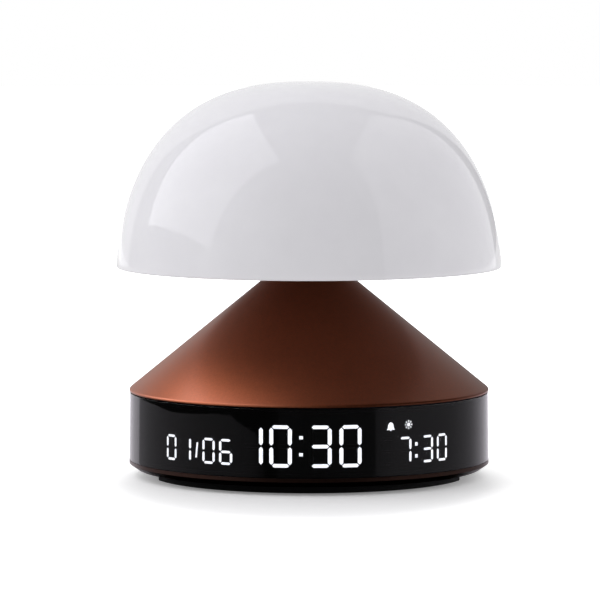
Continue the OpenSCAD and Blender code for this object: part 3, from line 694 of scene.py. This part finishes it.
def bell_pts():
    left = [(-1.25, -0.85), (-1.0, -0.55), (-0.85, 0.0), (-0.80, 0.35)]
    right = [(-x, y) for x, y in reversed(left)]
    return left + arc_pts(0, 0.35, 0.8, 180, 0, 14)[1:-1] + right


ICONS = {
    "light": [arc_pts(0, 0, 0.62, 0, 345, 23)] + [
        bar_pts(0.62, 0.26, a, 1.22 * math.cos(math.radians(a)),
                1.22 * math.sin(math.radians(a))) for a in range(0, 360, 45)],
    "alarm": [bell_pts(), arc_pts(0, -1.18, 0.26, 0, 340, 17)],
    "minus": [bar_pts(2.3, 0.36)],
    "plus": [plus_pts(2.3, 0.36)],
}


def raised(name, shapes, x0, z0, surface, proud, sink, mat, body):
    """Thin raised shapes that follow a curved surface facing +Y."""
    verts, faces = [], []
    for pts in shapes:
        n = len(pts)
        base = len(verts)
        inset = 0.035
        cx = sum(p[0] for p in pts) / n
        cy = sum(p[1] for p in pts) / n
        for layer in range(3):
            for px, py in pts:
                if layer == 2:
                    d = math.hypot(px - cx, py - cy) or 1.0
                    px, py = px - (px - cx) / d * inset, py - (py - cy) / d * inset
                y = surface(x0 + px, math.hypot(px, py))
                y += (-sink, proud - 0.03, proud)[layer]
                verts.append(((x0 + px) * MM, y * MM, (z0 + py) * MM))
        for layer in range(2):
            for i in range(n):
                k = (i + 1) % n
                a, b = base + layer * n, base + (layer + 1) * n
                faces.append([a + i, a + k, b + k, b + i])
        faces.append([base + i for i in range(n)])
        faces.append([base + 2 * n + i for i in range(n)])
    obj = finish_mesh(name, verts, faces, mat, sharp=35.0)
    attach(obj, body)
    return obj


for x0, key in zip(KEY_X, ("light", "alarm", "minus", "plus")):
    build_key(x0, "key_" + key, key + "_key", "button_" + key)
    raised("legend_" + key, ICONS[key], x0, KEY_Z, key_face, 0.07, 0.12,
           "legend_grey", key + "_key")


# ------------------------------------------------------ rear panel details
def panel_face(x, r):
    return math.sqrt(59.5 ** 2 - x * x)


BOLT = [(0.25, 1.45), (-0.85, -0.20), (-0.10, -0.20), (-0.30, -1.45),
        (0.85, 0.25), (0.08, 0.25)]
raised("charge_mark", [BOLT], 7.6, 10.83, panel_face, 0.10, 0.15, "black_abs",
       "clock_base")


def build_contacts():
    """Gold pads on both faces of the socket's tongue."""
    verts, faces = [], []
    for side in (-1, 1):
        z_in = 10.83 + side * 0.345
        z_out = 10.83 + side * 0.385
        for i in range(10):
            x = -2.475 + 0.55 * i
            b = len(verts)
            for z in (z_in, z_out):
                for px, py in ((-0.13, 53.4), (0.13, 53.4), (0.13, 57.0), (-0.13, 57.0)):
                    verts.append(((x + px) * MM, py * MM, z * MM))
            faces += [[b, b + 1, b + 2, b + 3], [b + 4, b + 5, b + 6, b + 7]]
            for k in range(4):
                faces.append([b + k, b + (k + 1) % 4, b + 4 + (k + 1) % 4, b + 4 + k])
    obj = finish_mesh("socket_contacts", verts, faces, "contact_gold")
    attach(obj, "clock_base")


build_contacts()


# -------------------------------------------------------- the return spring
def build_spring():
    """Coil that stands on the neck's seat; on the clock it closes up as the light goes down."""
    wire, rad, z0, z1, turns = 0.45, 6.55, 47.47, 56.63, 5
    steps, sides = turns * 48, 12
    verts, faces = [], []
    for i in range(steps + 1):
        u = i / steps
        if u < 0.12:
            h = u * u / 0.24 / 0.88
        elif u > 0.88:
            h = (0.88 - (1 - u) ** 2 / 0.24) / 0.88
        else:
            h = (u - 0.06) / 0.88
        z = z0 + (z1 - z0) * min(1.0, max(0.0, h))
        a = 2 * PI * turns * u
        thick = wire * (0.86 if i in (0, steps) else 1.0)
        for k in range(sides):
            b = 2 * PI * (k + 0.5) / sides
            r = rad + thick * math.cos(b)
            verts.append((r * math.cos(a) * MM, r * math.sin(a) * MM,
                          (z + thick * math.sin(b)) * MM))
    for i in range(steps):
        for k in range(sides):
            m = (k + 1) % sides
            faces.append([i * sides + k, (i + 1) * sides + k,
                          (i + 1) * sides + m, i * sides + m])
    faces.append(list(range(sides)))
    faces.append([steps * sides + k for k in reversed(range(sides))])
    obj = finish_mesh("press_spring", verts, faces, slot_of["return_spring"], sharp=50.0)
    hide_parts("return_spring")
    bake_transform(obj)


build_spring()


# ------------------------------------------------------------------- studio
def light_material(name, strength, ramp=None, color=(1.0, 1.0, 1.0), clear=False,
                   painted=False):
    """Plain light panel; with ramp, its strength follows the azimuth. A clear
    one adds to what is behind it, a painted one takes its mesh's colours."""
    mat = bpy.data.materials.new(name)
    mat.use_nodes = True
    nt = mat.node_tree
    nt.nodes.clear()
    out = nt.nodes.new("ShaderNodeOutputMaterial")
    em = nt.nodes.new("ShaderNodeEmission")
    em.inputs["Color"].default_value = (*color, 1.0)
    em.inputs["Strength"].default_value = strength
    last = em.outputs[0]
    if clear:
        gap = nt.nodes.new("ShaderNodeBsdfTransparent")
        both = nt.nodes.new("ShaderNodeAddShader")
        nt.links.new(last, both.inputs[0])
        nt.links.new(gap.outputs[0], both.inputs[1])
        last = both.outputs[0]
    nt.links.new(last, out.inputs["Surface"])
    if painted:
        paint = nt.nodes.new("ShaderNodeAttribute")
        paint.attribute_name = "radiance"
        nt.links.new(paint.outputs["Color"], em.inputs["Color"])
    if ramp:
        co = nt.nodes.new("ShaderNodeTexCoord")
        sep = nt.nodes.new("ShaderNodeSeparateXYZ")
        nt.links.new(co.outputs["Object"], sep.inputs[0])
        flip = nt.nodes.new("ShaderNodeMath"); flip.operation = "MULTIPLY"
        flip.inputs[1].default_value = -1.0
        nt.links.new(sep.outputs["Y"], flip.inputs[0])
        at = nt.nodes.new("ShaderNodeMath"); at.operation = "ARCTAN2"
        nt.links.new(sep.outputs["X"], at.inputs[0])
        nt.links.new(flip.outputs[0], at.inputs[1])
        mr = nt.nodes.new("ShaderNodeMapRange")
        mr.inputs["From Min"].default_value = -PI
        mr.inputs["From Max"].default_value = PI
        nt.links.new(at.outputs[0], mr.inputs["Value"])
        cr = nt.nodes.new("ShaderNodeValToRGB")
        e = cr.color_ramp.elements
        while len(e) < len(ramp):
            e.new(0.5)
        for i, (az, v) in enumerate(ramp):
            e[i].position = (az + 180.0) / 360.0
            e[i].color = (v * color[0], v * color[1], v * color[2], 1.0)
        nt.links.new(mr.outputs["Result"], cr.inputs["Fac"])
        nt.links.new(cr.outputs["Color"], em.inputs["Color"])
    return mat


def panel(name, verts, faces, mat, diffuse=True, sampled=True):
    mesh = bpy.data.meshes.new(name)
    mesh.from_pydata([tuple(v) for v in verts], [], faces)
    mesh.materials.append(mat)
    if not sampled:
        mat.cycles.emission_sampling = "NONE"
    obj = bpy.data.objects.new(name, mesh)
    bpy.context.scene.collection.objects.link(obj)
    obj.visible_camera = False
    obj.visible_shadow = False
    obj.visible_transmission = False
    obj.visible_diffuse = diffuse
    return obj


def reach(lamp, only=(), spare=()):
    """Sets which pieces a light falls on, as flags round a product do."""
    lit = bpy.data.collections.new(lamp.name + "_reach")
    for name in (*only, *spare):
        lit.objects.link(bpy.data.objects[name])
    for item in lit.collection_objects:
        item.light_linking.link_state = "INCLUDE" if only else "EXCLUDE"
    lamp.light_linking.receiver_collection = lit


BOX_AT = Vector((-0.677, -0.010, 0.693))
BOX_U = Vector((-0.035, 0.999, -0.019)).normalized()
BOX_V = Vector((0.640, 0.037, 0.767)).normalized()
BOX_W, BOX_H = 1.061, 1.079


def softbox_left():
    """Square softbox that leans in from the left; its fabric bows inwards."""
    n, bow = 14, 0.030
    pts = []
    corners = ((-1, -1), (1, -1), (1, 1), (-1, 1))
    for k in range(4):
        a, b = Vector(corners[k]), Vector(corners[(k + 1) % 4])
        inward = -((a + b) / 2)
        for i in range(n):
            t = i / n
            q = a.lerp(b, t) + inward * (2 * bow) * (1 - (2 * t - 1) ** 2)
            pts.append(BOX_AT + BOX_U * (q.x * BOX_W / 2) + BOX_V * (q.y * BOX_H / 2))
    obj = panel("softbox_left", pts, [list(range(len(pts)))],
                light_material("light_left", 1.96, color=(1.0, 1.0, 1.02)))
    reach(obj, spare=("cone_shell",))


def radiance(rows, top, az, el):
    levels = [(h, r) for h, r in rows] + [(90.0, [top])]
    picks = []
    for h, r in levels:
        step = 360.0 / len(r)
        q = (az + 180.0) / step - 0.5
        i = math.floor(q)
        picks.append((h, r[i % len(r)] * (1 - q + i) + r[(i + 1) % len(r)] * (q - i)))
    if el <= picks[0][0]:
        return picks[0][1]
    for (h0, v0), (h1, v1) in zip(picks, picks[1:]):
        if el <= h1:
            t = (el - h0) / (h1 - h0)
            return v0 + (v1 - v0) * t
    return top


# walls of the studio as the cone sees them
CONE_SKY = [
    (0.0, (0.40, 0.75, 0.70, 0.30, 0.00, 0.00, 0.04, 0.22)),
    (12.5, (0.56, 1.58, 1.68, 0.58, 0.00, 0.00, 0.04, 0.25)),
    (37.5, (0.00, 0.00, 0.00, 0.00, 0.00, 0.00, 0.01, 0.33)),
    (61.0, (0.23, 1.68, 0.00, 0.00, 0.00, 0.61))]


def softbox_flagged():
    """The same softbox as the cone sees it, with its near corner flagged off; it
    carries the light of the wall it hides too."""
    n = 10
    near, far, near_top, far_top = 0.05, 1.98, 1.30, 1.70
    lift = BOX_U.cross(BOX_V).normalized() * 0.004
    if lift.x < 0:
        lift = -lift
    verts, faces, tone = [], [], []
    for j in range(n + 1):
        for i in range(n + 1):
            a, b = 2 * i / n - 1, 2 * j / n - 1
            verts.append(BOX_AT + lift + BOX_U * (a * BOX_W / 2) + BOX_V * (b * BOX_H / 2))
            s, t = min(1, max(0, a + 0.5)), min(1, max(0, b + 0.5))
            v = verts[-1].normalized()
            az = math.degrees(math.atan2(v.x, -v.y))
            tone.append((near * (1 - s) + far * s) * (1 - t)
                        + (near_top * (1 - s) + far_top * s) * t
                        + radiance(CONE_SKY, 0.0, az, math.degrees(math.asin(v.z))))
    for j in range(n):
        for i in range(n):
            q = j * (n + 1) + i
            faces.append([q, q + 1, q + n + 2, q + n + 1])
    obj = panel("softbox_flagged", verts, faces,
                light_material("light_flagged", 1.0, clear=True, painted=True))
    paint = obj.data.color_attributes.new("radiance", "FLOAT_COLOR", "POINT")
    for i, v in enumerate(tone):
        paint.data[i].color = (v, v, v * 1.02, 1.0)
    reach(obj, only=("cone_shell",))


def panel_right():
    x = 0.80
    pts = [(x, -0.83, 0.0), (x, 1.25, 0.0), (x, 1.11, 0.6), (x, 1.10, 2.08),
           (x, -0.47, 2.08), (x, -0.78, 1.81), (x, -0.775, 1.1)]
    obj = panel("scrim_right", pts, [list(range(len(pts)))],
                light_material("light_right", 0.64, color=(1.0, 0.99, 1.02),
                               clear=True))
    reach(obj, spare=("cone_shell", frame["nodes"]["base_cover"].name))


def backdrop():
    y = 1.6
    pts = [(-1.56, y, 0.0), (0.45, y, 0.0), (0.60, y, 0.25), (0.80, y, 0.62),
           (0.95, y, 1.25), (0.97, y, 2.0), (0.72, y, 2.26), (0.05, y, 2.26),
           (-0.60, y, 2.38), (-1.20, y, 2.30), (-1.50, y, 1.60), (-1.42, y, 0.85),
           (-1.50, y, 0.5)]
    obj = panel("backdrop", pts, [list(range(len(pts)))],
                light_material("light_back", 0.46, clear=True))
    reach(obj, spare=("cone_shell", frame["nodes"]["base_cover"].name))


def low_ring(name, right=1.0, out=1.0, only=(), spare=()):
    """What the drum mirrors just below the table's level, all round. The lip under
    it sees less of it on the right."""
    ramp = [(-180, 1.0), (-160, 0.95), (-138, 0.84), (-136.2, 0.34), (-120, 0.27),
            (-100, 0.24), (-85, 0.215), (-66, 0.165), (-50, 0.14), (-36, 0.105),
            (-29, 0.045), (0, 0.030), (38, 0.050), (41.0, 0.055), (41.8, 0.165),
            (56, 0.255), (100, 0.255), (114, 0.31), (124, 0.39), (134, 0.56),
            (144, 0.74), (156, 0.90), (175, 1.0), (180, 1.0)]
    ramp = [(az, v * right if 5 < az < 150 else v) for az, v in ramp]
    top = [(-180, 0.0), (-137, 0.0), (-136.5, -64.6), (-121, -62.9), (-109, -62.0),
           (-97, -61.9), (-88, -60.7), (-77, -58.8), (-59, -56.0), (-49, -55.3),
           (-47, -57.0), (-43.5, -58.9), (-36, -61.8), (-31.6, -64.8), (-29, -72.0),
           (-27.5, -83.0), (-26, -110.0), (-20, -110.0), (-18, 0.0), (180, 0.0)]
    verts, faces = [], []
    az = -180.0
    cols = []
    while az <= 180.0001:
        for i in range(len(top) - 1):
            if top[i][0] <= az <= top[i + 1][0]:
                t = (az - top[i][0]) / (top[i + 1][0] - top[i][0])
                z = top[i][1] + (top[i + 1][1] - top[i][1]) * t
        cols.append((az, z))
        az += 0.5
    for a, z in cols:
        s, c = math.sin(math.radians(a)), math.cos(math.radians(a))
        verts += [(out * s, -out * c, -0.35), (out * s, -out * c, z * MM)]
    for i in range(len(cols) - 1):
        faces.append([2 * i, 2 * i + 2, 2 * i + 3, 2 * i + 1])
    obj = panel(name, verts, faces,
                light_material("light_" + name, 1.0, ramp, color=(1.01, 0.965, 1.045),
                               clear=True), diffuse=False, sampled=False)
    reach(obj, only, spare)


def sky(name, radius, rows, top, low=0.0, high=90.0, only=(), spare=()):
    """Dome of dim studio walls from low to high degrees. Each row is its height
    and its radiance at even steps of azimuth from the back, through -X."""
    verts, faces, tone = [], [], []
    na, ne = 72, 20
    for j in range(ne + 1):
        el = low + (high - low) * j / ne
        for i in range(na):
            az = -180.0 + 360.0 * i / na
            e, a = math.radians(el), math.radians(az)
            verts.append((radius * math.cos(e) * math.sin(a),
                          -radius * math.cos(e) * math.cos(a), radius * math.sin(e)))
            tone.append(radiance(rows, top, az, el))
    for j in range(ne):
        for i in range(na):
            k = (i + 1) % na
            faces.append([j * na + i, j * na + k, (j + 1) * na + k, (j + 1) * na + i])
    obj = panel(name, verts, faces,
                light_material("light_" + name, 1.0, clear=True, painted=True),
                sampled=False)
    paint = obj.data.color_attributes.new("radiance", "FLOAT_COLOR", "POINT")
    for i, v in enumerate(tone):
        paint.data[i].color = (v, v, v, 1.0)
    reach(obj, only, spare)
    return obj


def skies():
    sky("sky_shade", 5.6, [
        (12.5, (0.44, 0.52, 0.98, 0.86, 0.44, 0.28, 0.36, 0.42)),
        (37.5, (0.50, 0.62, 0.80, 0.66, 0.49, 0.39, 0.43, 0.46)),
        (61.0, (0.66, 0.92, 0.90, 0.66, 0.60, 0.61))], 0.77, only=("shade_shell",))
    # white table under the shade
    sky("table_shade", 5.6, [
        (-70.0, (0.66,)), (-25.0, (0.66,)),
        (-6.0, (0.86, 0.76, 0.69, 0.60, 0.60, 0.64, 0.80, 0.90))], 0.8,
        low=-90.0, high=0.0, only=("shade_shell", frame["nodes"]["shade_floor"].name))
    sky("sky_cone", 5.8, CONE_SKY, 0.00, only=("cone_shell",))
    sky("sky_rest", 6.0, [
        (12.5, (0.64, 0.59, 0.36, 0.05, 0.05, 0.36, 0.59, 0.64)),
        (37.5, (0.53, 0.47, 0.33, 0.11, 0.11, 0.33, 0.47, 0.53)),
        (61.0, (0.25, 0.20, 0.17, 0.17, 0.20, 0.25))], 0.16,
        spare=("shade_shell", "cone_shell"))


def world():
    """White behind the camera's view; below the table, light sent up by it."""
    w = bpy.data.worlds.new("studio")
    bpy.context.scene.world = w
    w.use_nodes = True
    w.cycles.sampling_method = "NONE"
    nt = w.node_tree
    nt.nodes.clear()
    out = nt.nodes.new("ShaderNodeOutputWorld")
    seen = nt.nodes.new("ShaderNodeBackground")
    fill = nt.nodes.new("ShaderNodeBackground")
    gloss = nt.nodes.new("ShaderNodeBackground")
    mix1 = nt.nodes.new("ShaderNodeMixShader")
    mix2 = nt.nodes.new("ShaderNodeMixShader")
    path = nt.nodes.new("ShaderNodeLightPath")
    co = nt.nodes.new("ShaderNodeTexCoord")
    sep = nt.nodes.new("ShaderNodeSeparateXYZ")
    nt.links.new(co.outputs["Generated"], sep.inputs[0])

    def grade(socket, stops):
        mr = nt.nodes.new("ShaderNodeMapRange")
        mr.inputs["From Min"].default_value = -1.0
        mr.inputs["From Max"].default_value = 1.0
        nt.links.new(socket, mr.inputs["Value"])
        cr = nt.nodes.new("ShaderNodeValToRGB")
        e = cr.color_ramp.elements
        while len(e) < len(stops):
            e.new(0.5)
        for i, (p, c) in enumerate(stops):
            e[i].position = (p + 1.0) / 2.0
            e[i].color = (*c, 1.0) if isinstance(c, tuple) else (c, c, c, 1.0)
        nt.links.new(mr.outputs["Result"], cr.inputs["Fac"])
        return cr.outputs["Color"]

    seen.inputs["Color"].default_value = (1.0, 1.0, 1.0, 1.0)
    nt.links.new(grade(sep.outputs["Z"], [
        (-1.0, 0.20), (-0.02, 0.25), (0.0, 0.0), (1.0, 0.0)]), fill.inputs["Color"])
    nt.links.new(grade(sep.outputs["Z"], [
        (-1.0, 0.0), (-0.30, 0.0), (-0.02, 0.02), (0.0, 0.0), (1.0, 0.0)]),
        gloss.inputs["Color"])
    nt.links.new(path.outputs["Is Glossy Ray"], mix1.inputs["Fac"])
    nt.links.new(fill.outputs[0], mix1.inputs[1])
    nt.links.new(gloss.outputs[0], mix1.inputs[2])
    nt.links.new(path.outputs["Is Camera Ray"], mix2.inputs["Fac"])
    nt.links.new(mix1.outputs[0], mix2.inputs[1])
    nt.links.new(seen.outputs[0], mix2.inputs[2])
    nt.links.new(mix2.outputs[0], out.inputs["Surface"])


# painted contact shadow: the table's emission is low in an oval under and before the clock, and rises to white
# outside it
SHADOW_OVAL = (0.001, -0.025, 0.0635, 0.0595, 0.093)
FLOOR_PAINTED_SHADOW = [(0.0, 0.175), (0.094, 0.178), (0.156, 0.19), (0.219, 0.215),
              (0.269, 0.245), (0.312, 0.29), (0.344, 0.35), (0.375, 0.44),
              (0.406, 0.53), (0.438, 0.60), (0.53, 0.75), (1.0, 1.0)]


def floor():
    verts = [(0.0, 0.0, 0.0)]
    faces = []
    n, r = 96, 4.0
    for i in range(n):
        a = 2 * PI * i / n
        verts.append((r * math.cos(a), r * math.sin(a), 0.0))
    for i in range(n):
        faces.append([0, 1 + i, 1 + (i + 1) % n])
    mesh = bpy.data.meshes.new("floor")
    mesh.from_pydata(verts, [], faces)
    g = Graph("floor_white_painted_shadow")
    cloud = g.noise(3.0, 2.0)
    x = g.math("SUBTRACT", g.axis("X"), SHADOW_OVAL[0])
    x = g.math("MAXIMUM", g.math("DIVIDE", x, SHADOW_OVAL[2]), g.math("DIVIDE", x, SHADOW_OVAL[3]))
    y = g.math("DIVIDE", g.math("SUBTRACT", g.axis("Y"), SHADOW_OVAL[1]), SHADOW_OVAL[4])
    d = g.math("SQRT", g.math("ADD", g.math("MULTIPLY", x, x),
                              g.math("MULTIPLY", y, y)))
    # painted shadow: the emission is dim inside the oval and white far from the clock
    painted_shadow = g.ramp(g.span(d, 0.4, 2.0), FLOOR_PAINTED_SHADOW)
    g.set(color=g.mix(cloud, (0.93, 0.93, 0.93), (0.95, 0.95, 0.95)), rough=0.9,
          spec=0.1, emit=painted_shadow, power=1.0)
    mesh.materials.append(g.mat)
    g.mat.cycles.emission_sampling = "NONE"
    obj = bpy.data.objects.new("floor", mesh)
    bpy.context.scene.collection.objects.link(obj)
    obj.visible_glossy = False
    obj.visible_diffuse = False
    obj.visible_transmission = False


softbox_left()
softbox_flagged()
panel_right()
backdrop()
low_ring("low_ring", spare=("shade_shell", frame["nodes"]["base_cover"].name))
low_ring("low_ring_lip", 0.40, 1.02, only=(frame["nodes"]["base_cover"].name,))
skies()
world()
floor()

view = bpy.context.scene.view_settings
view.view_transform = "Standard"
view.look = "None"
view.exposure = 0.0
view.gamma = 1.0
